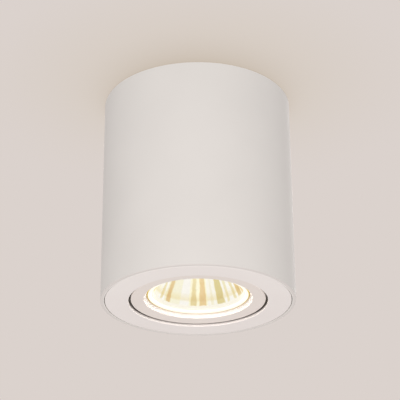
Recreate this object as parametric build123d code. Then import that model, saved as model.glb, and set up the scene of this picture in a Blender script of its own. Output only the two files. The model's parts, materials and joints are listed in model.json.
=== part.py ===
from build123d import *

import math
import os

# Surface-mounted ceiling spot: a white tube on a ceiling bracket, with a reflector lamp in a ring that tilts.
# Millimetres. The origin is the centre of the ceiling plane, +Z is up, and the spot hangs down along -Z.
# The ring tilts about an axis along Y, and the lamp turns about its own axis to lock in its holder.

# Housing tube
tube_diameter = 96.0
tube_height = 108.0
tube_wall = 1.8
tube_edge_radius = 0.3
lug_thickness = 3.0
lug_width = 9.0

# Front bezel, set in the tube's mouth
seam_gap = 0.3
bezel_plate = 2.2
bezel_edge_radius = 0.4
opening_relief = 1.0
skirt_height = 9.0
skirt_wall = 1.5
boss_radius = 3.2
boss_inset = 4.8
boss_count = 3

# Tilt ring
ring_gap = 1.1
ring_face_width = 6.4
ring_recess = 1.0
ring_plate = 1.8
ring_edge_radius = 0.4
ring_wall = 2.5
ring_depth = 9.0
bevel_width = 1.3
mouth_recess = 1.6
pivot_height = 5.2
pivot_block_width = 9.0
pivot_block_height = 5.8
ear_thickness = 2.6
ear_width = 9.0
ear_top = 4.6
washer_thickness = 1.4
washer_radius = 2.7
side_play = 0.05

# Screws
m3_radius = 1.5
m3_head_radius = 2.7
m3_head_height = 2.0
low_head_height = 1.6
m25_radius = 1.25
m25_head_radius = 2.2
m25_head_height = 1.6
countersunk_height = 1.6
countersunk_radius = 2.8
screw_clearance = 0.2
running_clearance = 0.06
pan_dome = 0.45
driver_slot_width = 0.8
driver_slot_depth = 0.9
hex_socket_radius = 1.1

# Lamp with a twist-lock base
lamp_diameter = 50.0
lamp_play = 0.5
lamp_recess = 3.4
lamp_rim_height = 3.0
reflector_wall = 1.8
lamp_rim_edge = 0.6
reflector_mouth_radius = 22.4
rim_band_depth = 4.2
reflector_neck_radius = 7.5
reflector_depth = 27.0
reflector_sides = 28
reflector_tiers = 4
glass_radius = 23.4
glass_thickness = 1.6
glass_inset = 0.4
glass_play = 0.06
glass_edge_radius = 0.15
base_radius = 12.8
base_end_radius = 10.5
base_shoulder_edge = 1.5
base_end_edge = 0.8
base_start = 29.0
base_shoulder = 38.0
lamp_length = 46.5
base_cavity_radius = 6.4
pin_spacing = 10.0
pin_neck_radius = 1.6
pin_neck_length = 5.0
pin_head_radius = 2.5
pin_head_length = 2.2
pin_root = 4.0
burner_radius = 4.8
burner_wall = 0.8
burner_tip = 12.0
burner_shoulder = 27.0
burner_end = 34.0
pinch_thickness = 3.0
burner_lead_radius = 0.4
burner_lead_spacing = 3.6
burner_lead_bend = 0.7
burner_lead_straight = 1.5
filament_radius = 0.25
filament_low = 15.5
filament_high = 24.0
filament_bend = 0.9

# Lampholder and its bracket
holder_length = 28.0
holder_depth = 22.0
holder_corner = 3.0
holder_body_height = 11.5
holder_cover_height = 9.0
holder_gap = 0.4
twist_angle = 40.0
slot_play = 0.4
pin_end_play = 0.3
pocket_half_depth = 6.2
contact_thickness = 0.5
contact_width = 5.0
contact_gap = 0.3
contact_tab = 5.6
contact_tab_width = 4.0
holder_screw_spacing = 17.2
holder_screw_reach = 6.0
strap_thickness = 1.0
strap_width = 10.0
strap_bend = 2.0
strap_play = 1.4
strap_knee = 12.0
foot_screw_length = 3.2

# Ceiling bracket
bracket_thickness = 1.5
bracket_width = 34.0
bracket_corner = 2.5
bend_radius = 0.8
tab_width = 14.0
tab_neck = 7.2
tab_drop = 14.0
tab_play = 0.45
side_screw_drop = 9.0
slot_spacing = 60.0
slot_length = 14.0
slot_width = 5.2
cable_offset = 9.0
cable_hole_radius = 5.6
grommet_bore_radius = 4.0
grommet_flange_radius = 7.6
grommet_flange_height = 2.0
grommet_edge_radius = 0.8

# Terminal block and wiring
block_length = 33.0
block_depth = 16.0
block_height = 13.0
block_offset = 9.0
block_corner = 1.0
pole_pitch = 10.0
pole_count = 3
entry_drop = 7.5
insert_radius = 2.6
insert_bore_radius = 1.7
insert_length = 11.0
clamp_screw_spacing = 6.0
lead_radius = 1.3
lead_seat = 2.0
lead_play = 0.1
lead_spacing = 18.0
lead_loop = 15.0
lead_bend_share = 0.45
earth_screw_x = -23.0
earth_screw_y = 9.0
tag_thickness = 0.8
tag_radius = 3.8
tag_reach = 8.0
barrel_radius = 1.9
barrel_length = 5.0

# Radii and heights that follow from the sizes above
tube_radius = tube_diameter / 2
tube_bore_radius = tube_radius - tube_wall
bezel_radius = tube_bore_radius - seam_gap
lamp_bore_radius = lamp_diameter / 2 + lamp_play
cup_radius = lamp_bore_radius + ring_wall
mouth_radius = lamp_bore_radius + bevel_width
ring_radius = mouth_radius + ring_face_width
opening_radius = ring_radius + ring_gap
boss_circle_radius = tube_bore_radius - boss_inset
boss_angles = [360 / boss_count * i for i in range(boss_count)]

face_z = -tube_height
pivot_z = face_z + pivot_height
block_top_z = pivot_z + pivot_block_height
lug_z = face_z + skirt_height
lamp_z = face_z + lamp_recess
base_end_z = lamp_z + lamp_length
holder_z = base_end_z + holder_gap
cover_z = holder_z + holder_body_height
bridge_z = cover_z + holder_cover_height
pin_head_z = base_end_z + pin_neck_length
pin_end_z = pin_head_z + pin_head_length
bracket_z = -bracket_thickness
side_screw_z = -side_screw_drop
entry_z = bracket_z - entry_drop
tab_x = math.sqrt((tube_bore_radius - tab_play) ** 2 - (tab_width / 2) ** 2)
ear_y = ring_radius + washer_thickness + 2 * side_play
pivot_head_y = ear_y + ear_thickness + side_play
foot_y = (cup_radius + ring_radius) / 2
lead_exit_z = cover_z + holder_cover_height / 2
block_face_y = block_offset + block_depth / 2


# Shared shapes

def section(points):
    """A closed outline of (radius, height) points, drawn flat."""
    return make_face(Polyline(*points, close=True))


def rounded(outline, point, radius):
    """The outline with the corner nearest to a point rounded."""
    corner = min(outline.vertices(), key=lambda v: (Vector(v) - Vector(*point)).length)
    return fillet(corner, radius)


def turned(outline):
    """A solid turned about Z from a flat outline of radius and height."""
    return revolve(Plane.XZ * outline, Axis.Z)


def rod(radius, start, end):
    """A round bar between two points."""
    run = Vector(*end) - Vector(*start)
    plane = Plane(origin=Vector(*start), z_dir=run.normalized())
    return extrude(plane * Circle(radius), run.length)


def ring(outer, inner, low, high):
    """An upright tube about the main axis."""
    return rod(outer, (0, 0, low), (0, 0, high)) - rod(inner, (0, 0, low), (0, 0, high))


def block(low, high):
    """A box between two corners."""
    centre = (Vector(*low) + Vector(*high)) * 0.5
    size = Vector(*high) - Vector(*low)
    return Pos(*centre) * Box(*size)


def pan_screw(radius, head_radius, head_height, head_seat, tip, slot_dir):
    """A slotted pan-head screw: its head stands on head_seat and its shank reaches tip."""
    seat, end = Vector(*head_seat), Vector(*tip)
    out = (seat - end).normalized()
    top = seat + out * head_height
    head = rod(head_radius, seat, top)
    rim = min(head.edges().filter_by(GeomType.CIRCLE), key=lambda edge: (edge.arc_center - top).length)
    screw = fillet(rim, pan_dome * head_height) + rod(radius, end, seat)
    plane = Plane(origin=top, x_dir=Vector(*slot_dir), z_dir=out)
    groove = extrude(plane * Rectangle(4 * head_radius, driver_slot_width), -driver_slot_depth)
    return screw - groove


def turned_about_z(shape, angles):
    """Copies of a shape at several angles about the main axis."""
    return [Rot(0, 0, angle) * shape for angle in angles]


def tube_along(points, radius, bends):
    """A round lead along straight runs joined by tangent arcs."""
    path = FilletPolyline(*points, radius=bends)
    start = Plane(origin=path @ 0, z_dir=path % 0)
    return sweep(start * Circle(radius), path=path), path


def bend_radii(points):
    """The largest arc at each corner that its two runs leave room for."""
    radii = []
    for before, here, after in zip(points, points[1:], points[2:]):
        first = Vector(*here) - Vector(*before)
        second = Vector(*after) - Vector(*here)
        half_turn = math.radians(first.get_angle(second)) / 2
        radii.append(lead_bend_share * min(first.length, second.length) / math.tan(half_turn))
    return radii


def save(name, *solids):
    """Writes one node, a single solid or a group of separate ones."""
    shape = solids[0] if len(solids) == 1 else Compound(children=list(solids))
    export_step(shape, os.path.join("parts", name + ".step"))


# Housing: tube, bezel and the screws between them

def housing_tube():
    outline = section([
        (tube_bore_radius, face_z),
        (tube_radius, face_z),
        (tube_radius, 0),
        (tube_bore_radius, 0),
    ])
    tube = turned(rounded(outline, (tube_radius, face_z), tube_edge_radius))
    lug = block(
        (boss_circle_radius - boss_radius, -lug_width / 2, lug_z),
        (tube_radius - tube_wall / 2, lug_width / 2, lug_z + lug_thickness),
    )
    hole = Pos(boss_circle_radius, 0, lug_z) * Cylinder(m3_radius + screw_clearance, 4 * lug_thickness)
    for part in turned_about_z(lug - hole, boss_angles):
        tube += part
    for side in (1, -1):
        head_x = side * (tube_radius + side_play)
        sink_x = side * (tube_radius - countersunk_height)
        tube -= countersunk(head_x, sink_x, screw_clearance)
        tube -= rod(m3_radius + screw_clearance, (sink_x, 0, side_screw_z), (side * tab_x, 0, side_screw_z))
    return tube


def countersunk(head_x, neck_x, growth):
    """The cone of a countersunk head, from its wide end to its neck."""
    wide = Plane(origin=(head_x, 0, side_screw_z), z_dir=(1, 0, 0)) * Circle(countersunk_radius + growth)
    neck = Plane(origin=(neck_x, 0, side_screw_z), z_dir=(1, 0, 0)) * Circle(m3_radius + growth)
    return loft([wide, neck])


def side_screws():
    screws = []
    for side in (1, -1):
        sagitta = tube_radius - math.sqrt(tube_radius**2 - countersunk_radius**2)
        head_x = side * (tube_radius - sagitta)
        neck_x = side * (tube_radius - countersunk_height)
        tip_x = side * (tab_x - 2 * bracket_thickness)
        screw = countersunk(head_x, neck_x, 0)
        screw += rod(m3_radius, (neck_x, 0, side_screw_z), (tip_x, 0, side_screw_z))
        head_plane = Plane(origin=(head_x, 0, side_screw_z), z_dir=(side, 0, 0))
        socket = extrude(head_plane * RegularPolygon(hex_socket_radius, 6), -driver_slot_depth)
        screws.append(screw - socket)
    return screws


def front_bezel():
    outline = section([
        (opening_radius, face_z),
        (bezel_radius, face_z),
        (bezel_radius, lug_z),
        (bezel_radius - skirt_wall, lug_z),
        (bezel_radius - skirt_wall, face_z + bezel_plate),
        (opening_radius + opening_relief, face_z + bezel_plate),
        (opening_radius, face_z + bezel_plate - opening_relief),
    ])
    outline = rounded(outline, (opening_radius, face_z), bezel_edge_radius)
    outline = rounded(outline, (bezel_radius, face_z), bezel_edge_radius)
    bezel = turned(outline)
    plate_z = face_z + bezel_plate
    boss = rod(boss_radius, (boss_circle_radius, 0, plate_z), (boss_circle_radius, 0, lug_z))
    boss -= rod(m3_radius, (boss_circle_radius, 0, plate_z), (boss_circle_radius, 0, lug_z))
    for part in turned_about_z(boss, boss_angles):
        bezel += part
    ear_ends = [(0, ear_y, pivot_z), (0, ear_y + ear_thickness, pivot_z)]
    ear = block(
        (-ear_width / 2, ear_y, plate_z),
        (ear_width / 2, ear_y + ear_thickness, pivot_z),
    )
    ear += rod(ear_top, *ear_ends) & block(
        (-ear_top, ear_y, plate_z),
        (ear_top, ear_y + ear_thickness, pivot_z + ear_top),
    )
    ear -= rod(m3_radius + running_clearance, *ear_ends)
    for part in turned_about_z(ear, (0, 180)):
        bezel += part
    return bezel


def bezel_screws():
    seat_z = lug_z + lug_thickness
    tip_z = face_z + bezel_plate
    screw = pan_screw(
        m3_radius,
        m3_head_radius,
        m3_head_height,
        (boss_circle_radius, 0, seat_z),
        (boss_circle_radius, 0, tip_z),
        (1, 0, 0),
    )
    return turned_about_z(screw, boss_angles)


# Ceiling bracket and what it carries

def ceiling_bracket():
    plate = RectangleRounded(2 * (tab_x - tab_neck), bracket_width, bracket_corner)
    bracket = extrude(plate, -bracket_thickness)
    channel = section([
        (-tab_x, -tab_drop),
        (-tab_x, 0),
        (tab_x, 0),
        (tab_x, -tab_drop),
        (tab_x - bracket_thickness, -tab_drop),
        (tab_x - bracket_thickness, bracket_z),
        (bracket_thickness - tab_x, bracket_z),
        (bracket_thickness - tab_x, -tab_drop),
    ])
    for side in (1, -1):
        channel = rounded(channel, (side * tab_x, 0), bend_radius + bracket_thickness)
        channel = rounded(channel, (side * (tab_x - bracket_thickness), bracket_z), bend_radius)
    bracket += extrude(Plane.XZ * channel, tab_width / 2, both=True)
    for side in (1, -1):
        bracket -= rod(
            m3_radius,
            (side * (tab_x - 2 * bracket_thickness), 0, side_screw_z),
            (side * (tab_x + bracket_thickness), 0, side_screw_z),
        )
        slot = SlotOverall(slot_length, slot_width)
        bracket -= Pos(side * slot_spacing / 2, 0, 0) * extrude(slot, -bracket_thickness)
    bracket -= rod(cable_hole_radius, (0, -cable_offset, bracket_z), (0, -cable_offset, 0))
    bracket -= rod(m3_radius, (earth_screw_x, earth_screw_y, bracket_z), (earth_screw_x, earth_screw_y, 0))
    fixing_x = pole_pitch / 2
    bracket -= rod(m3_radius, (fixing_x, block_offset, bracket_z), (fixing_x, block_offset, 0))
    return bracket


def cable_grommet():
    flange_z = bracket_z - grommet_flange_height
    outline = section([
        (grommet_bore_radius, flange_z),
        (grommet_flange_radius, flange_z),
        (grommet_flange_radius, bracket_z),
        (cable_hole_radius, bracket_z),
        (cable_hole_radius, 0),
        (grommet_bore_radius, 0),
    ])
    outline = rounded(outline, (grommet_flange_radius, flange_z), grommet_edge_radius)
    return Pos(0, -cable_offset, 0) * turned(outline)


def pole_places():
    """The x of each pole of the terminal block."""
    return [pole_pitch * (i - (pole_count - 1) / 2) for i in range(pole_count)]


def clamp_places():
    """The x and y of each clamp screw of the terminal block."""
    return [(x, block_offset + s * clamp_screw_spacing / 2) for x in pole_places() for s in (1, -1)]


def terminal_block():
    low_z = bracket_z - block_height
    body = block(
        (-block_length / 2, block_offset - block_depth / 2, low_z),
        (block_length / 2, block_face_y, bracket_z),
    )
    body = fillet(body.edges().filter_by(Axis.Z), block_corner)
    for x in pole_places():
        body -= rod(
            insert_radius,
            (x, block_offset - block_depth / 2, entry_z),
            (x, block_face_y, entry_z),
        )
    for x, y in clamp_places():
        body -= rod(m3_radius + screw_clearance, (x, y, low_z), (x, y, entry_z))
    fixing_x = pole_pitch / 2
    body -= rod(m3_radius, (fixing_x, block_offset, low_z), (fixing_x, block_offset, bracket_z))
    seat_z = low_z + m3_head_height + screw_clearance
    sink_radius = m3_head_radius + screw_clearance
    body -= rod(sink_radius, (fixing_x, block_offset, low_z), (fixing_x, block_offset, seat_z))
    return body


def terminal_inserts():
    inserts = []
    for x in pole_places():
        ends = [(x, block_offset + s * insert_length / 2, entry_z) for s in (1, -1)]
        sleeve = rod(insert_radius, *ends) - rod(insert_bore_radius, *ends)
        for y in (block_offset + s * clamp_screw_spacing / 2 for s in (1, -1)):
            sleeve -= rod(m3_radius, (x, y, entry_z - 2 * insert_radius), (x, y, entry_z))
        inserts.append(sleeve)
    return inserts


def terminal_screws():
    low_z = bracket_z - block_height
    tip_z = entry_z - insert_bore_radius
    screws = []
    for x, y in clamp_places():
        screw = rod(m3_radius, (x, y, low_z + screw_clearance), (x, y, tip_z))
        groove = block(
            (x - m3_radius, y - driver_slot_width / 2, low_z),
            (x + m3_radius, y + driver_slot_width / 2, low_z + screw_clearance + driver_slot_depth),
        )
        screws.append(screw - groove)
    return screws


def terminal_fixing_screw():
    fixing_x = pole_pitch / 2
    seat_z = bracket_z - block_height + m3_head_height + screw_clearance
    return pan_screw(
        m3_radius,
        m3_head_radius,
        m3_head_height,
        (fixing_x, block_offset, seat_z),
        (fixing_x, block_offset, 0),
        (0, 1, 0),
    )


def earth_tag():
    top_z = bracket_z
    low_z = top_z - tag_thickness
    eye = rod(tag_radius, (earth_screw_x, earth_screw_y, low_z), (earth_screw_x, earth_screw_y, top_z))
    tongue = block(
        (earth_screw_x - barrel_radius, earth_screw_y, low_z),
        (earth_screw_x + barrel_radius, earth_screw_y + tag_reach, top_z),
    )
    barrel_z = top_z - barrel_radius
    barrel_start = earth_screw_y + tag_reach - tag_thickness
    barrel = rod(
        barrel_radius,
        (earth_screw_x, barrel_start, barrel_z),
        (earth_screw_x, barrel_start + barrel_length, barrel_z),
    )
    barrel -= rod(
        lead_radius,
        (earth_screw_x, barrel_start + tag_thickness, barrel_z),
        (earth_screw_x, barrel_start + barrel_length, barrel_z),
    )
    hole = rod(m3_radius, (earth_screw_x, earth_screw_y, low_z), (earth_screw_x, earth_screw_y, top_z))
    tongue -= rod(
        lead_radius,
        (earth_screw_x, barrel_start + tag_thickness, barrel_z),
        (earth_screw_x, barrel_start + barrel_length, barrel_z),
    )
    return eye + tongue + barrel - hole


def earth_screw():
    seat_z = bracket_z - tag_thickness
    return pan_screw(
        m3_radius,
        m3_head_radius,
        m3_head_height,
        (earth_screw_x, earth_screw_y, seat_z),
        (earth_screw_x, earth_screw_y, 0),
        (1, 0, 0),
    )


# Leads: insulated, from the terminal block to the lampholder and to the earth tag

def lamp_lead_points(side):
    """Route of the live (+1) or neutral (-1) lead, from the block round a loop into the holder's cover."""
    start_x, end_x = side * pole_pitch, side * lead_spacing / 2
    start_y = block_face_y - lead_seat
    end_y = holder_depth / 2 - lead_seat
    drop = entry_z - lead_exit_z
    out_y = block_face_y + lead_loop
    return [
        (start_x, start_y, entry_z),
        (start_x, block_face_y + 0.36 * lead_loop, entry_z),
        (0.8 * start_x + 0.2 * end_x, out_y, entry_z - 0.32 * drop),
        (0.3 * start_x + 0.7 * end_x, out_y, entry_z - 0.68 * drop),
        (end_x, block_face_y + 0.3 * lead_loop, lead_exit_z),
        (end_x, end_y, lead_exit_z),
    ]


def earth_lead_points():
    """Route of the earth lead, from the middle pole round to the barrel of the tag."""
    barrel_end = earth_screw_y + tag_reach
    barrel_z = bracket_z - barrel_radius
    return [
        (0, block_face_y - lead_seat, entry_z),
        (0, block_face_y + 0.5 * lead_loop, entry_z),
        (0.3 * earth_screw_x, block_face_y + 0.95 * lead_loop, 0.7 * entry_z + 0.3 * barrel_z),
        (0.7 * earth_screw_x, block_face_y + 0.95 * lead_loop, 0.3 * entry_z + 0.7 * barrel_z),
        (earth_screw_x, block_face_y + 0.6 * lead_loop, barrel_z),
        (earth_screw_x, barrel_end, barrel_z),
    ]


def lead(name, points):
    """One insulated lead, with its bends and its volume against section times length printed."""
    bends = bend_radii(points)
    solid, path = tube_along(points, lead_radius, bends)
    expected = math.pi * lead_radius**2 * path.length
    print(name, "bends", [round(r, 1) for r in bends], "length", round(path.length, 1),
          "volume ratio", round(solid.volume / expected, 4))
    return solid


# Tilt ring and its pivots

def tilt_ring():
    bevel_top_z = face_z + lamp_recess - side_play
    outline = section([
        (mouth_radius, face_z + mouth_recess),
        (ring_radius, face_z + ring_recess),
        (ring_radius, face_z + ring_recess + ring_plate),
        (cup_radius, face_z + ring_recess + ring_plate),
        (cup_radius, face_z + ring_recess + ring_depth),
        (lamp_bore_radius, face_z + ring_recess + ring_depth),
        (lamp_bore_radius, bevel_top_z),
    ])
    outline = rounded(outline, (ring_radius, face_z + ring_recess), ring_edge_radius)
    outline = rounded(outline, (mouth_radius, face_z + mouth_recess), ring_edge_radius / 2)
    body = turned(outline)
    for angle in (0, 180):
        pivot_block = block(
            (-pivot_block_width / 2, lamp_bore_radius + ring_wall / 2, face_z + ring_recess + ring_plate / 2),
            (pivot_block_width / 2, ring_radius, block_top_z),
        )
        pivot_block &= ring(ring_radius, lamp_bore_radius, face_z, block_top_z)
        pivot_block -= rod(m3_radius, (0, cup_radius, pivot_z), (0, ring_radius, pivot_z))
        pivot_block -= rod(m25_radius, (0, foot_y, block_top_z - foot_screw_length), (0, foot_y, block_top_z))
        body += Rot(0, 0, angle) * pivot_block
    return body


def pivot_screws():
    screw = pan_screw(
        m3_radius,
        m3_head_radius,
        low_head_height,
        (0, pivot_head_y, pivot_z),
        (0, cup_radius, pivot_z),
        (0, 0, 1),
    )
    return turned_about_z(screw, (0, 180))


def friction_washers():
    ends = [(0, y, pivot_z) for y in (ring_radius + side_play, ring_radius + side_play + washer_thickness)]
    washer = rod(washer_radius, *ends) - rod(m3_radius, *ends)
    return turned_about_z(washer, (0, 180))


# Lampholder and the strap that carries it

def holder_bracket():
    foot_z = block_top_z + strap_thickness / 2
    leg_y = lamp_bore_radius + strap_thickness / 2
    top_y = holder_depth / 2 + strap_play + strap_thickness / 2
    bridge_mid_z = bridge_z + strap_thickness / 2
    half = [
        (ring_radius - strap_thickness / 2, foot_z),
        (leg_y, foot_z),
        (leg_y, foot_z + strap_knee),
        (top_y, bridge_mid_z - strap_knee),
        (top_y, bridge_mid_z),
    ]
    other_half = [(-y, z) for y, z in reversed(half)]
    line = FilletPolyline(*half, *other_half, radius=strap_bend)
    flat = Plane.YZ * trace(line, strap_thickness)
    strap = extrude(flat, strap_width / 2, both=True)
    for side in (1, -1):
        y = side * foot_y
        strap -= rod(m25_radius, (0, y, foot_z - strap_thickness), (0, y, foot_z + strap_thickness))
        y = side * holder_screw_spacing / 2
        strap -= rod(m3_radius + screw_clearance, (0, y, bridge_z), (0, y, bridge_z + strap_thickness))
    return strap


def bracket_screws():
    seat_z = block_top_z + strap_thickness
    screws = []
    for side in (1, -1):
        y = side * foot_y
        screws.append(pan_screw(
            m25_radius,
            m25_head_radius,
            m25_head_height,
            (0, y, seat_z),
            (0, y, block_top_z - foot_screw_length),
            (1, 0, 0),
        ))
    return screws


def holder_outline(low_z, height):
    """One half of the ceramic lampholder as a plain rounded block."""
    return Pos(0, 0, low_z) * extrude(RectangleRounded(holder_length, holder_depth, holder_corner), height)


def lampholder_body():
    slot_plate_z = pin_head_z - pin_end_play
    body = holder_outline(holder_z, holder_body_height)
    pocket_radius = pin_spacing / 2 + pin_head_radius + 2 * slot_play
    pocket = rod(pocket_radius, (0, 0, slot_plate_z), (0, 0, cover_z))
    pocket &= block(
        (-pocket_radius, -pocket_half_depth, slot_plate_z),
        (pocket_radius, pocket_half_depth, cover_z),
    )
    body -= pocket
    pin_circle = pin_spacing / 2
    neck_width = pin_neck_radius + slot_play
    for start in (0, 180):
        track = SlotArc(CenterArc((0, 0), pin_circle, start - twist_angle, twist_angle), 2 * neck_width)
        entry = Rot(0, 0, start - twist_angle) * Pos(pin_circle, 0, 0) * Circle(pin_head_radius + slot_play)
        body -= Pos(0, 0, holder_z) * extrude(track + entry, slot_plate_z - holder_z)
    for side in (1, -1):
        y = side * holder_screw_spacing / 2
        body -= rod(m3_radius, (0, y, cover_z - holder_screw_reach), (0, y, cover_z))
    return body


def lampholder_cover():
    cover = holder_outline(cover_z, holder_cover_height)
    for side in (1, -1):
        y = side * holder_screw_spacing / 2
        cover -= rod(m3_radius + screw_clearance, (0, y, cover_z), (0, y, bridge_z))
        x = side * lead_spacing / 2
        inner_y = holder_depth / 2 - lead_seat
        cover -= rod(lead_radius, (x, inner_y, lead_exit_z), (x, holder_depth / 2, lead_exit_z))
        tab_outer = pin_spacing / 2 + pin_head_radius
        tab_inner = tab_outer - contact_thickness
        low_x, high_x = sorted((side * (tab_outer + slot_play), side * (tab_inner - slot_play)))
        cover -= block(
            (low_x, -contact_tab_width / 2 - slot_play, cover_z),
            (high_x, contact_tab_width / 2 + slot_play, cover_z + contact_tab),
        )
    return cover


def lampholder_contacts():
    contacts = []
    leaf_z = pin_end_z + contact_gap
    tab_outer = pin_spacing / 2 + pin_head_radius
    tab_top_z = cover_z + contact_tab - contact_gap
    for angle in (0, 180):
        leaf = block(
            (tab_outer - contact_width, -contact_tab_width / 2, leaf_z),
            (tab_outer, contact_tab_width / 2, leaf_z + contact_thickness),
        )
        tab = block(
            (tab_outer - contact_thickness, -contact_tab_width / 2, leaf_z),
            (tab_outer, contact_tab_width / 2, tab_top_z),
        )
        contacts.append(Rot(0, 0, angle) * (leaf + tab))
    return contacts


def lampholder_screws():
    screws = []
    for side in (1, -1):
        y = side * holder_screw_spacing / 2
        screws.append(pan_screw(
            m3_radius,
            m3_head_radius,
            m3_head_height,
            (0, y, bridge_z + strap_thickness),
            (0, y, cover_z - holder_screw_reach),
            (1, 0, 0),
        ))
    return screws


# Lamp: faceted reflector, front glass, burner and twist-lock base

def reflector_radius(depth):
    """Inner radius of the parabolic reflector at a depth behind the lamp's face."""
    narrowing = (reflector_mouth_radius**2 - reflector_neck_radius**2) / (reflector_depth - rim_band_depth)
    return math.sqrt(reflector_mouth_radius**2 - narrowing * (depth - rim_band_depth))


def lamp_reflector():
    tier_depth = (reflector_depth - rim_band_depth) / reflector_tiers
    depths = [rim_band_depth + tier_depth * i for i in range(reflector_tiers + 1)]
    rim = lamp_diameter / 2
    outside = [(reflector_radius(d) + reflector_wall, lamp_z + d) for d in depths[1:]]
    outline = section([
        (0, lamp_z),
        (rim, lamp_z),
        (rim, lamp_z + lamp_rim_height),
        *outside,
        (outside[-1][0], lamp_z + base_start),
        (0, lamp_z + base_start),
    ])
    reflector = turned(rounded(outline, (rim, lamp_z), lamp_rim_edge))
    glass_seat_z = lamp_z + glass_inset + glass_thickness + glass_play
    reflector -= rod(glass_radius + glass_play, (0, 0, lamp_z), (0, 0, glass_seat_z))
    reflector -= rod(reflector_mouth_radius, (0, 0, lamp_z), (0, 0, lamp_z + rim_band_depth))
    for low, high in zip(depths, depths[1:]):
        mouth = Pos(0, 0, lamp_z + low) * RegularPolygon(reflector_radius(low), reflector_sides)
        back = Pos(0, 0, lamp_z + high) * RegularPolygon(reflector_radius(high), reflector_sides)
        reflector -= loft([mouth, back], ruled=True)
    reflector -= rod(reflector_neck_radius - reflector_wall / 2, (0, 0, lamp_z), (0, 0, lamp_z + base_start))
    return reflector


def lamp_front_glass():
    low_z = lamp_z + glass_inset
    disc = rod(glass_radius, (0, 0, low_z), (0, 0, low_z + glass_thickness))
    return fillet(disc.edges(), glass_edge_radius)


def lamp_burner():
    tip_z, shoulder_z = lamp_z + burner_tip, lamp_z + burner_shoulder
    end_z = lamp_z + burner_end

    def capsule(radius, low_z):
        centre_z = low_z + radius
        dome = Pos(0, 0, centre_z) * Sphere(radius)
        return dome + rod(radius, (0, 0, centre_z), (0, 0, shoulder_z))

    inner_radius = burner_radius - burner_wall
    bulb = capsule(burner_radius, tip_z) - capsule(inner_radius, tip_z + burner_wall)
    pinch = block(
        (-burner_radius, -pinch_thickness / 2, shoulder_z),
        (burner_radius, pinch_thickness / 2, end_z),
    )
    shoulder = rod(burner_radius, (0, 0, shoulder_z), (0, 0, shoulder_z + burner_wall))
    burner = bulb + shoulder + pinch
    for side in (1, -1):
        x = side * burner_lead_spacing / 2
        burner -= rod(burner_lead_radius, (x, 0, shoulder_z), (x, 0, end_z))
    return burner


def burner_leads():
    leads = []
    top_z = base_end_z - pin_root
    for side in (1, -1):
        x = side * burner_lead_spacing / 2
        points = [
            (x, 0, lamp_z + filament_high),
            (x, 0, lamp_z + burner_end + burner_lead_straight),
            (side * pin_spacing / 2, 0, top_z - burner_lead_straight),
            (side * pin_spacing / 2, 0, top_z),
        ]
        leads.append(tube_along(points, burner_lead_radius, burner_lead_bend)[0])
    return leads


def lamp_filament():
    x = burner_lead_spacing / 2
    points = [
        (-x, 0, lamp_z + filament_high),
        (-x, 0, lamp_z + filament_low),
        (x, 0, lamp_z + filament_low),
        (x, 0, lamp_z + filament_high),
    ]
    return tube_along(points, filament_radius, filament_bend)[0]


def lamp_base():
    base_z, shoulder_z = lamp_z + base_start, lamp_z + base_shoulder
    outline = section([
        (0, base_z),
        (base_radius, base_z),
        (base_radius, shoulder_z),
        (base_end_radius, base_end_z),
        (0, base_end_z),
    ])
    outline = rounded(outline, (base_end_radius, base_end_z), base_end_edge)
    base = turned(rounded(outline, (base_radius, shoulder_z), base_shoulder_edge))
    base -= rod(base_cavity_radius, (0, 0, base_z), (0, 0, base_end_z - pin_root))
    for side in (1, -1):
        x = side * pin_spacing / 2
        base -= rod(pin_neck_radius, (x, 0, base_end_z - pin_root), (x, 0, base_end_z))
    return base


def lamp_pins():
    pins = []
    for side in (1, -1):
        x = side * pin_spacing / 2
        pin = rod(pin_neck_radius, (x, 0, base_end_z - pin_root), (x, 0, pin_end_z))
        pins.append(pin + rod(pin_head_radius, (x, 0, pin_head_z), (x, 0, pin_end_z)))
    return pins


os.makedirs("parts", exist_ok=True)

save("housing_tube", housing_tube())
save("side_screws", *side_screws())
save("front_bezel", front_bezel())
save("bezel_screws", *bezel_screws())
save("ceiling_bracket", ceiling_bracket())
save("cable_grommet", cable_grommet())
save("terminal_block", terminal_block())
save("terminal_inserts", *terminal_inserts())
save("terminal_screws", *terminal_screws())
save("terminal_fixing_screw", terminal_fixing_screw())
save("earth_tag", earth_tag())
save("earth_screw", earth_screw())
save("live_lead", lead("live lead", lamp_lead_points(1)))
save("neutral_lead", lead("neutral lead", lamp_lead_points(-1)))
save("earth_lead", lead("earth lead", earth_lead_points()))

save("tilt_ring", tilt_ring())
save("pivot_screws", *pivot_screws())
save("friction_washers", *friction_washers())
save("holder_bracket", holder_bracket())
save("bracket_screws", *bracket_screws())
save("lampholder_body", lampholder_body())
save("lampholder_cover", lampholder_cover())
save("lampholder_contacts", *lampholder_contacts())
save("lampholder_screws", *lampholder_screws())

save("lamp_reflector", lamp_reflector())
save("lamp_front_glass", lamp_front_glass())
save("lamp_burner", lamp_burner())
save("lamp_filament", lamp_filament())
save("burner_leads", *burner_leads())
save("lamp_base", lamp_base())
save("lamp_pins", *lamp_pins())
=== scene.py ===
import bmesh
import bpy
import json
import math
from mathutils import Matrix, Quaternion, Vector


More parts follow.
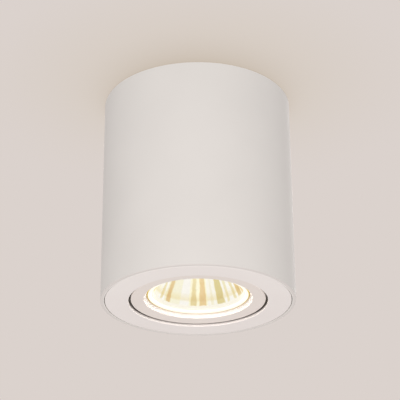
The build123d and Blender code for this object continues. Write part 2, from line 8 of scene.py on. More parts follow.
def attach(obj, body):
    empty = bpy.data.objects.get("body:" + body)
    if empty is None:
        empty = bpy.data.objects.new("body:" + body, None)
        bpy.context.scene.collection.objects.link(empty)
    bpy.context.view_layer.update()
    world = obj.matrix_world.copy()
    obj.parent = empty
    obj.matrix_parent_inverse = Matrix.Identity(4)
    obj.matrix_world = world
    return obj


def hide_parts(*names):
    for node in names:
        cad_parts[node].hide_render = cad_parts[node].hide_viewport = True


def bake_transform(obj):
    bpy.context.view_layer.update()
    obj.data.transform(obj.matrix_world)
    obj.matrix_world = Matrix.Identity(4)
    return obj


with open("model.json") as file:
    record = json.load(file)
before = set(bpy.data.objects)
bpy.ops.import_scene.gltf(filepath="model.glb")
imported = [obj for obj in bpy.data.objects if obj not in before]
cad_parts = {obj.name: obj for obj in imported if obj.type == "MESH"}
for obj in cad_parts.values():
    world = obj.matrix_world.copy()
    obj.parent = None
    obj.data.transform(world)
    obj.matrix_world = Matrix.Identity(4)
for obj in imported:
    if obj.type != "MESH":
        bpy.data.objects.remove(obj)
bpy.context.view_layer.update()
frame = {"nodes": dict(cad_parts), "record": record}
MM = 0.001

# Sizes that the finishes and new pieces share with the part, in millimetres
TUBE_BORE = 46.2
TUBE_END = -108.0
LAMP_FACE = -104.6
LAMP_RADIUS = 25.0
GLASS_RADIUS = 23.4
BAND_DEPTH = 4.2
BAND_RADIUS = 22.4
FACET_FALL = 19.54
FACET_COUNT = 28
NECK_RADIUS = 7.5
LEAD_RADIUS = 1.3

# Which draw of white noise the facets take, picked so that their streaks stand near those of the photograph
FACET_DRAW = 1924.0


# Small helpers for colours, materials and meshes

def linear(code):
    """An sRGB hex colour as linear RGBA."""
    channels = [int(code[i:i + 2], 16) / 255 for i in (1, 3, 5)]
    return tuple(c / 12.92 if c <= 0.04045 else ((c + 0.055) / 1.055) ** 2.4 for c in channels) + (1.0,)


def add(tree, kind, inputs=None, out=None, stops=(), **settings):
    """Adds a shader node with its settings, ramp stops, and values or sockets on its inputs."""
    made = tree.nodes.new(kind)
    for name, value in settings.items():
        setattr(made, name, value)
    for i, (position, colour) in enumerate(stops):
        point = made.color_ramp.elements[i] if i < 2 else made.color_ramp.elements.new(position)
        point.position, point.color = position, linear(colour)
    for name, value in (inputs or {}).items():
        if isinstance(value, bpy.types.NodeSocket):
            tree.links.new(value, made.inputs[name])
        else:
            made.inputs[name].default_value = value
    return made.outputs[out] if out else made


def material(name):
    """An empty node material, its tree and the place of each point on the piece."""
    made = bpy.data.materials.new(name)
    made.use_nodes = True
    made.node_tree.nodes.clear()
    return made, made.node_tree, add(made.node_tree, "ShaderNodeTexCoord", out="Object")


# Materials

def powder_coat(name, colour, shade):
    """Matt white polyester powder coat on aluminium. The cured powder leaves a fine orange peel that
    softens the highlight."""
    made, tree, place = material(name)
    peel = add(tree, "ShaderNodeTexNoise", {"Vector": place, "Scale": 1 / (0.9 * MM), "Detail": 3.0}, "Fac")
    cloud = add(tree, "ShaderNodeTexNoise", {"Vector": place, "Scale": 1 / (35 * MM), "Detail": 2.0}, "Fac")
    tone = add(tree, "ShaderNodeValToRGB", {"Fac": cloud}, "Color", [(0.3, shade), (0.7, colour)])
    bump = add(tree, "ShaderNodeBump", {"Height": peel, "Strength": 0.05, "Distance": 0.05 * MM}, "Normal")
    dull = add(tree, "ShaderNodeMapRange", {"Value": peel, "To Min": 0.5, "To Max": 0.62}, "Result")
    paint = add(tree, "ShaderNodeBsdfPrincipled", {"Base Color": tone, "Roughness": dull, "Normal": bump,
                                                   "IOR": 1.5}, "BSDF")
    add(tree, "ShaderNodeOutputMaterial", {"Surface": paint})
    return made


def coated_tube(name, colour, shade, end_grey, bare):
    """The same coat on the extruded tube, greyer over the last 0.4 mm at its lower cut end. In the bore the
    powder only reaches in from the ends, and mill-finish aluminium with its draw lines shows between; that grey
    bore is also painted shade for the inside of the closed tube."""
    made, tree, place = material(name)
    peel = add(tree, "ShaderNodeTexNoise", {"Vector": place, "Scale": 1 / (0.9 * MM), "Detail": 3.0}, "Fac")
    cloud = add(tree, "ShaderNodeTexNoise", {"Vector": place, "Scale": 1 / (35 * MM), "Detail": 2.0}, "Fac")
    coat = add(tree, "ShaderNodeValToRGB", {"Fac": cloud}, "Color", [(0.3, shade), (0.7, colour)])
    level = add(tree, "ShaderNodeSeparateXYZ", {"Vector": place}, "Z")
    # Greyer over the last 0.4 mm at the lower cut end, next to the bezel
    cut = add(tree, "ShaderNodeMapRange", {"Value": level, "From Min": (TUBE_END + 0.4) * MM,
                                           "From Max": (TUBE_END + 0.1) * MM}, "Result")
    outside = add(tree, "ShaderNodeMix", {"Factor": cut, 6: coat, 7: linear(end_grey)}, data_type="RGBA").outputs[2]
    # The bore: bare metal in the middle, powder towards the ends; its grey is also painted shade for the inside
    # of the closed tube
    drawn = add(tree, "ShaderNodeMapping", {"Vector": place, "Scale": (1, 1, 0.02)}, "Vector")
    lines = add(tree, "ShaderNodeTexNoise", {"Vector": drawn, "Scale": 1 / (0.7 * MM), "Detail": 3.0}, "Fac")
    mill = add(tree, "ShaderNodeValToRGB", {"Fac": lines}, "Color", [(0.3, bare), (0.7, "#A3A19E")])
    dust = add(tree, "ShaderNodeTexNoise", {"Vector": place, "Scale": 1 / (2.5 * MM), "Detail": 5.0}, "Fac")
    middle = add(tree, "ShaderNodeMath", {0: level, 1: TUBE_END / 2 * MM}, "Value", operation="SUBTRACT")
    away = add(tree, "ShaderNodeMath", {0: middle}, "Value", operation="ABSOLUTE")
    reach = add(tree, "ShaderNodeMath", {0: dust, 1: 24 * MM, 2: away}, "Value", operation="MULTIPLY_ADD")
    powder = add(tree, "ShaderNodeMapRange", {"Value": reach, "From Min": 32 * MM, "From Max": 56 * MM},
                 "Result", interpolation_type="SMOOTHSTEP")
    inside = add(tree, "ShaderNodeMix", {"Factor": powder, 6: mill, 7: linear(shade)},
                 data_type="RGBA").outputs[2]
    flat = add(tree, "ShaderNodeVectorMath", {0: place, 1: (1, 1, 0)}, "Vector", operation="MULTIPLY")
    radius = add(tree, "ShaderNodeVectorMath", {0: flat}, "Value", operation="LENGTH")
    bore = add(tree, "ShaderNodeMapRange", {"Value": radius, "From Min": (TUBE_BORE + 0.5) * MM,
                                            "From Max": (TUBE_BORE + 0.2) * MM}, "Result")
    tone = add(tree, "ShaderNodeMix", {"Factor": bore, 6: outside, 7: inside}, data_type="RGBA").outputs[2]
    unpainted = add(tree, "ShaderNodeMath", {0: 1.0, 1: powder}, "Value", operation="SUBTRACT")
    metal = add(tree, "ShaderNodeMath", {0: bore, 1: unpainted}, "Value", operation="MULTIPLY")
    bump = add(tree, "ShaderNodeBump", {"Height": peel, "Strength": 0.05, "Distance": 0.05 * MM}, "Normal")
    dull = add(tree, "ShaderNodeMapRange", {"Value": peel, "To Min": 0.5, "To Max": 0.62}, "Result")
    paint = add(tree, "ShaderNodeBsdfPrincipled", {"Base Color": tone, "Roughness": dull, "Normal": bump,
                                                   "Metallic": metal, "IOR": 1.5}, "BSDF")
    add(tree, "ShaderNodeOutputMaterial", {"Surface": paint})
    return made


def plain_metal(name, light, dark, streak, grain, smooth, rough):
    """Plated or bare metal: cloudy plating or tarnish, and fine lines along the way it was rolled or turned."""
    made, tree, place = material(name)
    drawn = add(tree, "ShaderNodeMapping", {"Vector": place, "Scale": streak}, "Vector")
    lines = add(tree, "ShaderNodeTexNoise", {"Vector": drawn, "Scale": 1 / (grain * MM), "Detail": 2.0}, "Fac")
    cloud = add(tree, "ShaderNodeTexNoise", {"Vector": place, "Scale": 1 / (5 * MM), "Detail": 4.0}, "Fac")
    tone = add(tree, "ShaderNodeValToRGB", {"Fac": cloud}, "Color", [(0.36, dark), (0.64, light)])
    gloss = add(tree, "ShaderNodeMapRange", {"Value": lines, "From Min": 0.3, "From Max": 0.7,
                                             "To Min": smooth, "To Max": rough}, "Result")
    bump = add(tree, "ShaderNodeBump", {"Height": lines, "Strength": 0.15, "Distance": 0.04 * MM}, "Normal")
    metal = add(tree, "ShaderNodeBsdfPrincipled", {"Base Color": tone, "Metallic": 1.0, "Roughness": gloss,
                                                   "Normal": bump}, "BSDF")
    add(tree, "ShaderNodeOutputMaterial", {"Surface": metal})
    return made


def moulded(name, colour, shade, grain, smooth, rough, glow=0.0, ior=1.5):
    """Moulded or pressed non-metal: a soft mottle, and a fine grain that breaks up the gloss."""
    made, tree, place = material(name)
    fine = add(tree, "ShaderNodeTexNoise", {"Vector": place, "Scale": 1 / (grain * MM), "Detail": 4.0}, "Fac")
    cloud = add(tree, "ShaderNodeTexNoise", {"Vector": place, "Scale": 1 / (6 * MM), "Detail": 3.0}, "Fac")
    tone = add(tree, "ShaderNodeValToRGB", {"Fac": cloud}, "Color", [(0.3, shade), (0.7, colour)])
    gloss = add(tree, "ShaderNodeMapRange", {"Value": fine, "From Min": 0.3, "From Max": 0.7,
                                             "To Min": smooth, "To Max": rough}, "Result")
    bump = add(tree, "ShaderNodeBump", {"Height": fine, "Strength": 0.2, "Distance": 0.05 * MM}, "Normal")
    body = add(tree, "ShaderNodeBsdfPrincipled", {
        "Base Color": tone, "Roughness": gloss, "Normal": bump, "IOR": ior,
        "Subsurface Weight": glow, "Subsurface Scale": 1.5 * MM}, "BSDF")
    add(tree, "ShaderNodeOutputMaterial", {"Surface": body})
    return made


def striped_sleeve(name, ground, stripe):
    """Silicone wire insulation with one long stripe. Its satin skin has small lengthwise marks."""
    made, tree, place = material(name)
    around = add(tree, "ShaderNodeUVMap", out="UV", uv_map="sleeve")
    turn = add(tree, "ShaderNodeSeparateXYZ", {"Vector": around}, "Y")
    tone = add(tree, "ShaderNodeValToRGB", {"Fac": turn}, "Color",
               [(0.0, ground), (0.30, ground), (0.33, stripe), (0.67, stripe), (0.70, ground)])
    drawn = add(tree, "ShaderNodeMapping", {"Vector": around, "Scale": (6.0, 40.0, 1.0)}, "Vector")
    marks = add(tree, "ShaderNodeTexNoise", {"Vector": drawn, "Scale": 1.0, "Detail": 3.0}, "Fac")
    gloss = add(tree, "ShaderNodeMapRange", {"Value": marks, "To Min": 0.36, "To Max": 0.55}, "Result")
    bump = add(tree, "ShaderNodeBump", {"Height": marks, "Strength": 0.25, "Distance": 0.04 * MM}, "Normal")
    skin = add(tree, "ShaderNodeBsdfPrincipled", {"Base Color": tone, "Roughness": gloss, "Normal": bump,
                                                  "IOR": 1.42}, "BSDF")
    add(tree, "ShaderNodeOutputMaterial", {"Surface": skin})
    return made


def lit_reflector():
    """Aluminised glass reflector with the lamp on, its light painted in as emission. Each long facet shows its
    own piece of the light, from white to ochre, the plain band at the rim is white, and the glass edge glows
    amber."""
    made, tree, place = material("lit_aluminised_glass")
    split = add(tree, "ShaderNodeSeparateXYZ", {"Vector": place})
    across, back, level = (split.outputs[i] for i in "XYZ")
    flat = add(tree, "ShaderNodeVectorMath", {0: place, 1: (1, 1, 0)}, "Vector", operation="MULTIPLY")
    radius = add(tree, "ShaderNodeVectorMath", {0: flat}, "Value", operation="LENGTH")
    angle = add(tree, "ShaderNodeMath", {0: back, 1: across}, "Value", operation="ARCTAN2")
    count = add(tree, "ShaderNodeMath", {0: angle, 1: FACET_COUNT / (2 * math.pi)}, "Value",
                operation="MULTIPLY")
    number = add(tree, "ShaderNodeMath", {0: count}, "Value", operation="FLOOR")
    share = add(tree, "ShaderNodeMath", {0: count}, "Value", operation="FRACT")
    drawn = add(tree, "ShaderNodeMath", {0: number, 1: FACET_DRAW}, "Value", operation="ADD")
    dice = add(tree, "ShaderNodeTexWhiteNoise", {"W": drawn}, noise_dimensions="1D")
    chance = dice.outputs["Value"]
    draws = add(tree, "ShaderNodeSeparateColor", {"Color": dice.outputs["Color"]})
    hue, cream = draws.outputs["Green"], draws.outputs["Blue"]
    # Painted light on the facets: amber sits in the middle of a facet, wider on some facets than others, and
    # wanders with depth
    wander = add(tree, "ShaderNodeTexNoise", {"Vector": place, "Scale": 1 / (4 * MM), "Detail": 2.0}, "Fac")
    middle = add(tree, "ShaderNodeMath", {0: share, 1: 0.5}, "Value", operation="SUBTRACT")
    edge = add(tree, "ShaderNodeMath", {0: middle}, "Value", operation="ABSOLUTE")
    drift = add(tree, "ShaderNodeMath", {0: wander, 1: 0.3, 2: -0.2}, "Value", operation="MULTIPLY_ADD")
    reach = add(tree, "ShaderNodeMath", {0: chance, 1: 0.55, 2: drift}, "Value", operation="MULTIPLY_ADD")
    inside = add(tree, "ShaderNodeMath", {0: reach, 1: edge}, "Value", operation="SUBTRACT")
    within = add(tree, "ShaderNodeMapRange", {"Value": inside, "From Min": -0.06, "From Max": 0.14}, "Result",
                 interpolation_type="SMOOTHSTEP")
    strong = add(tree, "ShaderNodeMapRange", {"Value": chance, "From Min": 0.3, "From Max": 0.8}, "Result")
    ragged = add(tree, "ShaderNodeMath", {0: wander, 1: 4 * MM, 2: level}, "Value", operation="MULTIPLY_ADD")
    ends = add(tree, "ShaderNodeMapRange", {"Value": ragged, "From Min": (LAMP_FACE + BAND_DEPTH + 1.5) * MM,
                                            "From Max": (LAMP_FACE + BAND_DEPTH + 2.7) * MM}, "Result",
               interpolation_type="SMOOTHSTEP")
    depth = add(tree, "ShaderNodeMapRange", {"Value": level, "From Min": (LAMP_FACE + 26) * MM,
                                             "From Max": (LAMP_FACE + 8) * MM, "To Min": 0.5}, "Result")
    streak = add(tree, "ShaderNodeMath", {0: strong, 1: within}, "Value", operation="MULTIPLY")
    fading = add(tree, "ShaderNodeMath", {0: streak, 1: ends}, "Value", operation="MULTIPLY")
    amber = add(tree, "ShaderNodeMath", {0: fading, 1: depth}, "Value", operation="MULTIPLY")
    plain = add(tree, "ShaderNodeValToRGB", {"Fac": cream}, "Color", [(0.5, "#FFFDF8"), (0.85, "#FAF6D6")])
    faint = add(tree, "ShaderNodeMapRange", {"Value": amber, "From Min": 0.05, "From Max": 0.35}, "Result")
    pale = add(tree, "ShaderNodeMix", {"Factor": faint, 6: plain, 7: linear("#F3EBBE")},
               data_type="RGBA").outputs[2]
    tint = add(tree, "ShaderNodeValToRGB", {"Fac": hue}, "Color", [(0.3, "#D9C878"), (0.7, "#DFB868")])
    deep = add(tree, "ShaderNodeMapRange", {"Value": amber, "From Min": 0.3, "From Max": 0.8}, "Result")
    dealt = add(tree, "ShaderNodeMix", {"Factor": deep, 6: pale, 7: tint}, data_type="RGBA").outputs[2]
    # The facets' painted light ends in a cream line all round
    above = add(tree, "ShaderNodeMapRange", {"Value": level, "From Min": (LAMP_FACE + BAND_DEPTH) * MM,
                                             "From Max": (LAMP_FACE + BAND_DEPTH + 8) * MM}, "Result")
    foot = add(tree, "ShaderNodeValToRGB", {"Fac": above}, "Color",
               [(0.22, "#FFFFFF"), (0.34, "#F6EDCC"), (0.75, "#FFFFFF")])
    facets = add(tree, "ShaderNodeMix", {"Factor": 1.0, 6: dealt, 7: foot}, data_type="RGBA",
                 blend_type="MULTIPLY").outputs[2]
    # The plain band between the facets and the front glass, painted as white light
    band = add(tree, "ShaderNodeMapRange", {"Value": level, "From Min": (LAMP_FACE + BAND_DEPTH + 0.3) * MM,
                                            "From Max": (LAMP_FACE + BAND_DEPTH - 0.1) * MM}, "Result")
    inner = add(tree, "ShaderNodeMix", {"Factor": band, 6: facets, 7: linear("#FFFAEC")},
                data_type="RGBA").outputs[2]
    # The glass edge's outer side, next to the ring, painted with an amber glow
    side = add(tree, "ShaderNodeMapRange", {"Value": radius, "From Min": (LAMP_RADIUS - 0.35) * MM,
                                            "From Max": (LAMP_RADIUS - 0.15) * MM}, "Result")
    glow = add(tree, "ShaderNodeMix", {"Factor": side, 6: inner, 7: linear("#DCC060")},
               data_type="RGBA").outputs[2]
    # The inner wall and the front rim are lit; the coating lets a little light through to the back
    square = add(tree, "ShaderNodeMath", {0: radius, 1: radius}, "Value", operation="MULTIPLY")
    slope = add(tree, "ShaderNodeMath", {0: level, 1: FACET_FALL * MM, 2: square}, "Value",
                operation="MULTIPLY_ADD")
    wall = (BAND_RADIUS ** 2 + FACET_FALL * (LAMP_FACE + BAND_DEPTH)) * MM ** 2
    front = add(tree, "ShaderNodeMath", {0: slope, 1: wall + 13 * MM ** 2}, "Value", operation="LESS_THAN")
    rim = add(tree, "ShaderNodeMath", {0: level, 1: (LAMP_FACE + 2.9) * MM}, "Value", operation="LESS_THAN")
    bright = add(tree, "ShaderNodeMath", {0: front, 1: rim}, "Value", operation="MAXIMUM")
    neck = add(tree, "ShaderNodeMath", {0: radius, 1: (NECK_RADIUS + 0.4) * MM}, "Value", operation="LESS_THAN")
    lit = add(tree, "ShaderNodeMath", {0: bright, 1: neck}, "Value", operation="MAXIMUM")
    power = add(tree, "ShaderNodeMapRange", {"Value": lit, "To Min": 0.12, "To Max": 1.01}, "Result")
    mirror = add(tree, "ShaderNodeMapRange", {"Value": wander, "To Min": 0.22, "To Max": 0.4}, "Result")
    tone = add(tree, "ShaderNodeMix", {"Factor": lit, 6: linear("#B9B7B2"), 7: linear("#4A4740")},
               data_type="RGBA").outputs[2]
    coating = add(tree, "ShaderNodeBsdfPrincipled", {
        "Base Color": tone, "Metallic": 0.9, "Roughness": mirror,
        "Emission Color": glow, "Emission Strength": power}, "BSDF")
    add(tree, "ShaderNodeOutputMaterial", {"Surface": coating})
    return made


def clear_glass(name, ripple, rough, ior, glow, glow_from):
    """Clear glass: it lets the light through and ripples it slightly. Light caught in it glows from a radius
    outwards, which on the front glass is only its edge."""
    made, tree, place = material(name)
    flat = add(tree, "ShaderNodeVectorMath", {0: place, 1: (1, 1, 0)}, "Vector", operation="MULTIPLY")
    radius = add(tree, "ShaderNodeVectorMath", {0: flat}, "Value", operation="LENGTH")
    caught = add(tree, "ShaderNodeMapRange", {"Value": radius, "From Min": glow_from * MM,
                                              "From Max": (glow_from + 0.1) * MM, "To Max": glow}, "Result")
    waves = add(tree, "ShaderNodeTexNoise", {"Vector": place, "Scale": 1 / (ripple * MM), "Detail": 1.0}, "Fac")
    bump = add(tree, "ShaderNodeBump", {"Height": waves, "Strength": 0.12, "Distance": 0.1 * MM}, "Normal")
    glass = add(tree, "ShaderNodeBsdfPrincipled", {
        "Base Color": linear("#FDFEFC"), "Transmission Weight": 1.0, "Roughness": rough, "IOR": ior,
        "Normal": bump, "Emission Color": linear("#FFF4DC"), "Emission Strength": caught}, "BSDF")
    add(tree, "ShaderNodeOutputMaterial", {"Surface": glass})
    return made


def hot_tungsten():
    """Coiled tungsten at white heat, slightly cooler and yellower towards its supports."""
    made, tree, place = material("hot_tungsten")
    level = add(tree, "ShaderNodeSeparateXYZ", {"Vector": place}, "Z")
    heat = add(tree, "ShaderNodeMapRange", {"Value": level, "From Min": (LAMP_FACE + 24) * MM,
                                            "From Max": (LAMP_FACE + 19) * MM}, "Result")
    glow = add(tree, "ShaderNodeValToRGB", {"Fac": heat}, "Color", [(0.0, "#FFC36B"), (0.8, "#FFF1CF")])
    wire = add(tree, "ShaderNodeBsdfPrincipled", {
        "Base Color": linear("#55524E"), "Metallic": 1.0, "Roughness": 0.5,
        "Emission Color": glow, "Emission Strength": 5.0}, "BSDF")
    add(tree, "ShaderNodeOutputMaterial", {"Surface": wire})
    return made


# Tube, bezel and ring wear one white powder coat; the bezel's copy is a touch warmer, as painted warm light,
# and the ring's is warmer and darker, as painted warm light and shade where it sits deeper next to the lamp
WHITE = powder_coat("white_powder_coat", "#E9E3E0", "#E7E0DD")
RING_WHITE = powder_coat("white_ring_coat", "#E5DCD6", "#E2D9D3")
TUBE_WHITE = coated_tube("coated_aluminium_tube", "#E9E5E1", "#E6E2DE", "#D6D0CC", "#85827E")
ZINC = plain_metal("zinc_plated_steel", "#D6D8DA", "#C5C8CB", (0.08, 1, 1), 0.5, 0.28, 0.44)
STEEL = plain_metal("zinc_plated_screw", "#CFD1D2", "#B2B4B6", (1, 1, 0.3), 0.4, 0.22, 0.36)
BRASS = plain_metal("turned_brass", "#D9B96E", "#B9923F", (1, 1, 0.2), 0.4, 0.24, 0.4)
TINNED = plain_metal("tinned_copper", "#D3D1CB", "#B9B2A6", (1, 0.15, 1), 0.4, 0.26, 0.42)
MOLYBDENUM = plain_metal("molybdenum_wire", "#9C9A97", "#7D7A77", (1, 1, 0.1), 0.2, 0.3, 0.45)
NICKEL = plain_metal("nickel_plated_pin", "#D8D5CC", "#C2BEB2", (1, 1, 0.2), 0.3, 0.18, 0.3)
RUBBER = moulded("epdm_rubber", "#252524", "#1A1A1A", 0.35, 0.62, 0.82, ior=1.52)
NYLON = moulded("natural_polyamide", "#EDE8DA", "#E3DDCC", 0.5, 0.34, 0.48, glow=0.25, ior=1.53)
STEATITE = moulded("steatite", "#E9E3D5", "#DDD5C4", 0.3, 0.5, 0.72, ior=1.58)
PORCELAIN = moulded("glazed_porcelain", "#F1EDE4", "#E8E3D8", 0.8, 0.2, 0.34, glow=0.1, ior=1.55)
FIBRE = moulded("vulcanised_fibre", "#7A4634", "#5E3426", 0.25, 0.55, 0.75, ior=1.5)
EARTH = striped_sleeve("green_yellow_silicone", "#2E8B46", "#E3C62C")
LIVE = striped_sleeve("brown_silicone", "#6B4327", "#6F462A")
NEUTRAL = striped_sleeve("blue_silicone", "#2C62AE", "#2F66B2")

FINISHES = {
    "tube_white": TUBE_WHITE, "bezel_white": WHITE, "ring_white": RING_WHITE, "screw_white": WHITE,
    "zinc_steel": ZINC, "screw_steel": STEEL, "brass": BRASS, "tinned_copper": TINNED,
    "black_rubber": RUBBER, "block_plastic": NYLON, "holder_ceramic": STEATITE, "base_ceramic": PORCELAIN,
    "fibre": FIBRE, "earth_green_yellow": EARTH, "live_brown": LIVE, "neutral_blue": NEUTRAL,
    "reflector_coating": lit_reflector(),
    "front_glass": clear_glass("front_glass", 3.0, 0.03, 1.47, 0.8, GLASS_RADIUS - 0.3),
    "quartz": clear_glass("quartz_glass", 6.0, 0.0, 1.458, 0.06, 0.0), "tungsten": hot_tungsten(),
    "molybdenum": MOLYBDENUM, "pin_metal": NICKEL,
}
for part in frame["record"]["subparts"]:
    for place in frame["nodes"][part["node"]].material_slots:
        place.material = FINISHES[part["material_slot"]]


# Wiring and filament: smooth tubes along their routes

def smooth_line(name, route, steps):
    """Points along a NURBS line that has the route's points, in millimetres, as its control points."""
    curve = bpy.data.curves.new(name, "CURVE")
    curve.dimensions = "3D"
    spline = curve.splines.new("NURBS")
    spline.points.add(len(route) - 1)
    for point, place in zip(spline.points, route):
        point.co = (*(Vector(place) * MM), 1.0)
    spline.order_u = 3
    spline.use_endpoint_u = True
    spline.resolution_u = steps
    guide = bpy.data.objects.new(name, curve)
    line = bpy.data.meshes.new_from_object(guide)
    points = [v.co.copy() for v in line.vertices]
    bpy.data.objects.remove(guide)
    bpy.data.curves.remove(curve)
    bpy.data.meshes.remove(line)
    return points


def run(points):
    """The length of a line of points."""
    return sum((b - a).length for a, b in zip(points, points[1:]))


def along(points):
    """Each point of a line, the turn that sets a ring square to the line there, and the length so far."""
    heading, turn, walked = Vector((0, 0, 1)), Quaternion(), 0.0
    for i, point in enumerate(points):
        before = points[max(i - 1, 0)]
        ahead = (points[min(i + 1, len(points) - 1)] - before).normalized()
        turn = heading.rotation_difference(ahead) @ turn
        heading = ahead
        walked += (point - before).length
        yield point, turn, walked


def tube(name, points, radius, finish, sides):
    """A closed tube along a line: rings set square to it, bridged, with a map along and round it."""
    skin = bmesh.new()
    chart = skin.loops.layers.uv.new("sleeve")
    rings, spot = [], {}
    for point, turn, walked in along(points):
        ring = bmesh.ops.create_circle(skin, segments=sides, radius=radius)["verts"]
        bmesh.ops.rotate(skin, verts=ring, cent=(0, 0, 0), matrix=turn.to_matrix())
        bmesh.ops.translate(skin, verts=ring, vec=point)
        spot.update({v: (walked / MM, k) for k, v in enumerate(ring)})
        rings.append(ring)
    for near, far in zip(rings, rings[1:]):
        loops = {e for ring in (near, far) for v in ring for e in v.link_edges if e.other_vert(v) in ring}
        bmesh.ops.bridge_loops(skin, edges=list(loops))
    for face in skin.faces:
        steps = [spot[loop.vert][1] for loop in face.loops]
        for loop, step in zip(face.loops, steps):
            wrapped = sides if step == 0 and max(steps) == sides - 1 else step
            loop[chart].uv = (spot[loop.vert][0], wrapped / sides)
        face.smooth = True
    for ring in (rings[0], rings[-1]):
        bmesh.ops.contextual_create(skin, geom=ring)
    bmesh.ops.recalc_face_normals(skin, faces=skin.faces)
    mesh = bpy.data.meshes.new(name)
    skin.to_mesh(mesh)
    skin.free()
    mesh.materials.append(finish)
    made = bpy.data.objects.new(name, mesh)
    bpy.context.collection.objects.link(made)
    return made


LIVE_ROUTE = [(10, 15, -9), (10, 22.4, -9), (9.8, 32, -19.46), (9.3, 32, -31.24), (9, 21.5, -41.7),
              (9, 9, -41.7)]
EARTH_ROUTE = [(0, 15, -9), (0, 24.5, -9), (-6.9, 31.25, -7.32), (-16.1, 31.25, -5.08), (-23, 26, -3.4),
               (-23, 17, -3.4)]
LEAD_STEPS, LEAD_SIDES = 10, 16

for node, side, finish, slot in (("live_lead", 1, LIVE, "live_brown"),
                                 ("neutral_lead", -1, NEUTRAL, "neutral_blue")):
    line = smooth_line(node, [(side * x, y, z) for x, y, z in LIVE_ROUTE], LEAD_STEPS)
    sleeve = tube(node.replace("lead", "sleeve"), line, LEAD_RADIUS * MM, finish, LEAD_SIDES)
    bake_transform(sleeve)
    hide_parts(node)
    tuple(line[0])
    run(line)

line = smooth_line("earth_lead", EARTH_ROUTE, LEAD_STEPS)
sleeve = tube("earth_sleeve", line, LEAD_RADIUS * MM, EARTH, LEAD_SIDES)
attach(sleeve, "housing")
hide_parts("earth_lead")
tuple(line[0])
run(line)

# The filament is a fine wire wound into a coil, which hangs in a U between the burner's two leads
FILAMENT_ROUTE = [(-1.8, 0, -80.6), (-1.8, 0, -87.2), (-1.8, 0, -89.2),
                  (1.8, 0, -89.2), (1.8, 0, -87.2), (1.8, 0, -80.6)]
COIL_RADIUS = 0.19 * MM
COIL_PITCH = 0.24 * MM
COIL_STEPS, COIL_SIDES = 200, 6
WIRE_RADIUS = 0.06 * MM

winding = []
for point, turn, walked in along(smooth_line("filament_line", FILAMENT_ROUTE, COIL_STEPS)):
    phase = 2 * math.pi * walked / COIL_PITCH
    winding.append(point + turn @ Vector((COIL_RADIUS * math.cos(phase), COIL_RADIUS * math.sin(phase), 0)))
coil = tube("filament_coil", winding, WIRE_RADIUS, FINISHES["tungsten"], COIL_SIDES)
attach(coil, "lamp")
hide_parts("lamp_filament")


# Camera at the photograph's viewing angle

CAMERA_PLACE = (1.2 * MM, -648.0 * MM, -359.6 * MM)
CAMERA_PITCH = 25.36
CAMERA_ROLL = -0.39
FOCAL_PIXELS = 1412.5
PICTURE_PIXELS = 400

lens = bpy.data.cameras.new("camera")
lens.sensor_width = 36.0
lens.lens = FOCAL_PIXELS / PICTURE_PIXELS * lens.sensor_width
lens.clip_start, lens.clip_end = 0.01, 50.0
camera = bpy.data.objects.new("camera", lens)
camera.rotation_mode = "ZYX"
camera.location = CAMERA_PLACE
camera.rotation_euler = (math.radians(90 + CAMERA_PITCH), 0, math.radians(CAMERA_ROLL))
bpy.context.collection.objects.link(camera)
bpy.context.scene.camera = camera


# Ceiling, world and lamps

CEILING_HALF = 3.0
CEILING_LIFT = 0.5 * MM
SHADOW_REACH = 75 * MM


def ceiling_paint():
    """Pale ceiling with the fitting's soft warm shadow, which reaches further towards the front, and dark
    where the fitting covers it. Light and reflections pass it, and it is open from above, so that the top
    of the part can be looked into."""
    made, tree, place = material("ceiling_paint")
    # Painted shadow: the emitted tone follows an ambient occlusion node, its normal leant towards +Y so the
    # shadow reaches further at the front
    lean = add(tree, "ShaderNodeCombineXYZ", {"Y": 0.5, "Z": -0.87}, "Vector")
    open_air = add(tree, "ShaderNodeAmbientOcclusion", {"Distance": SHADOW_REACH, "Normal": lean}, "AO",
                   samples=24)
    tone = add(tree, "ShaderNodeValToRGB", {"Fac": open_air}, "Color", [
        (0.3, "#C8BBAC"), (0.7, "#D8CEC5"), (1.0, "#DBD2CD")])
    flat = add(tree, "ShaderNodeVectorMath", {0: place, 1: (1, 1, 0)}, "Vector", operation="MULTIPLY")
    radius = add(tree, "ShaderNodeVectorMath", {0: flat}, "Value", operation="LENGTH")
    # Painted shade: inside the bore radius, under the fitting, the ceiling gives off almost no light
    bare = add(tree, "ShaderNodeMapRange", {"Value": radius, "From Min": TUBE_BORE * MM,
                                            "From Max": (TUBE_BORE + 1) * MM, "To Min": 0.02}, "Result")
    paint = add(tree, "ShaderNodeEmission", {"Color": tone, "Strength": bare}, "Emission")
    clear = add(tree, "ShaderNodeBsdfTransparent", out="BSDF")
    path = add(tree, "ShaderNodeLightPath")
    seen = add(tree, "ShaderNodeMath", {0: path.outputs["Is Camera Ray"],
                                        1: path.outputs["Is Transmission Ray"]}, "Value", operation="MAXIMUM")
    behind = add(tree, "ShaderNodeNewGeometry", out="Backfacing")
    shown = add(tree, "ShaderNodeMath", {0: seen, 1: behind}, "Value", operation="SUBTRACT", use_clamp=True)
    mix = add(tree, "ShaderNodeMixShader", {"Fac": shown, 1: clear, 2: paint}, "Shader")
    add(tree, "ShaderNodeOutputMaterial", {"Surface": mix})
    return made


flat = bmesh.new()
bmesh.ops.create_grid(flat, x_segments=1, y_segments=1, size=CEILING_HALF)
bmesh.ops.reverse_faces(flat, faces=flat.faces)
bmesh.ops.translate(flat, verts=flat.verts, vec=(0, 0, CEILING_LIFT))
sheet = bpy.data.meshes.new("ceiling")
flat.to_mesh(sheet)
flat.free()
sheet.materials.append(ceiling_paint())
ceiling = bpy.data.objects.new("ceiling", sheet)
bpy.context.collection.objects.link(ceiling)

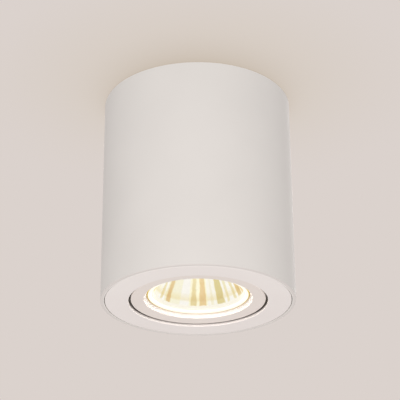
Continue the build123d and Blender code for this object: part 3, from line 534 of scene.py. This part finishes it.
world = bpy.data.worlds.new("studio")
world.use_nodes = True
bpy.context.scene.world = world
world.node_tree.nodes.clear()
path = add(world.node_tree, "ShaderNodeLightPath")
sharp = add(world.node_tree, "ShaderNodeMath", {0: path.outputs["Is Glossy Ray"],
                                                1: path.outputs["Is Transmission Ray"]}, "Value",
            operation="MAXIMUM")
seen = add(world.node_tree, "ShaderNodeMath", {0: sharp, 1: path.outputs["Is Camera Ray"]}, "Value",
           operation="MAXIMUM")
room = add(world.node_tree, "ShaderNodeBackground", {"Color": linear("#FFFDFC"), "Strength": 0.6}, "Background")
backdrop = add(world.node_tree, "ShaderNodeBackground", {"Color": linear("#DBD2CE"), "Strength": 1.0},
               "Background")
mix = add(world.node_tree, "ShaderNodeMixShader", {"Fac": seen, 1: room, 2: backdrop}, "Shader")
add(world.node_tree, "ShaderNodeOutputWorld", {"Surface": mix})


def softbox(name, place, aim, size, watts, colour):
    """A square soft lamp that points at a spot."""
    lamp = bpy.data.lights.new(name, "AREA")
    lamp.shape, lamp.size, lamp.energy, lamp.color = "SQUARE", size, watts, linear(colour)[:3]
    made = bpy.data.objects.new(name, lamp)
    made.location = place
    made.rotation_euler = (Vector(aim) - Vector(place)).to_track_quat("-Z", "Y").to_euler()
    bpy.context.collection.objects.link(made)
    return made


softbox("front_softbox", (-0.05, -1.0, -1.1), (0, 0, -0.06), 1.1, 12.0, "#FFFCFA")
softbox("back_softbox", (0.2, 1.2, 0.3), (0, 0, -0.05), 1.0, 6.0, "#FFFCFA")

# The lit lamp's own light, just under its front glass, falls on the ring's bevel
SPILL_SIZE = 44 * MM
SPILL_WATTS = 0.046
spill = bpy.data.lights.new("lamp_spill", "AREA")
spill.shape, spill.size, spill.energy, spill.color = "DISK", SPILL_SIZE, SPILL_WATTS, linear("#FFFBF2")[:3]
beam = bpy.data.objects.new("lamp_spill", spill)
beam.location = (0, 0, (LAMP_FACE - 0.05) * MM)
beam.visible_camera = beam.visible_glossy = beam.visible_transmission = False
bpy.context.collection.objects.link(beam)
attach(beam, "lamp")

bpy.context.scene.view_settings.view_transform = "Standard"
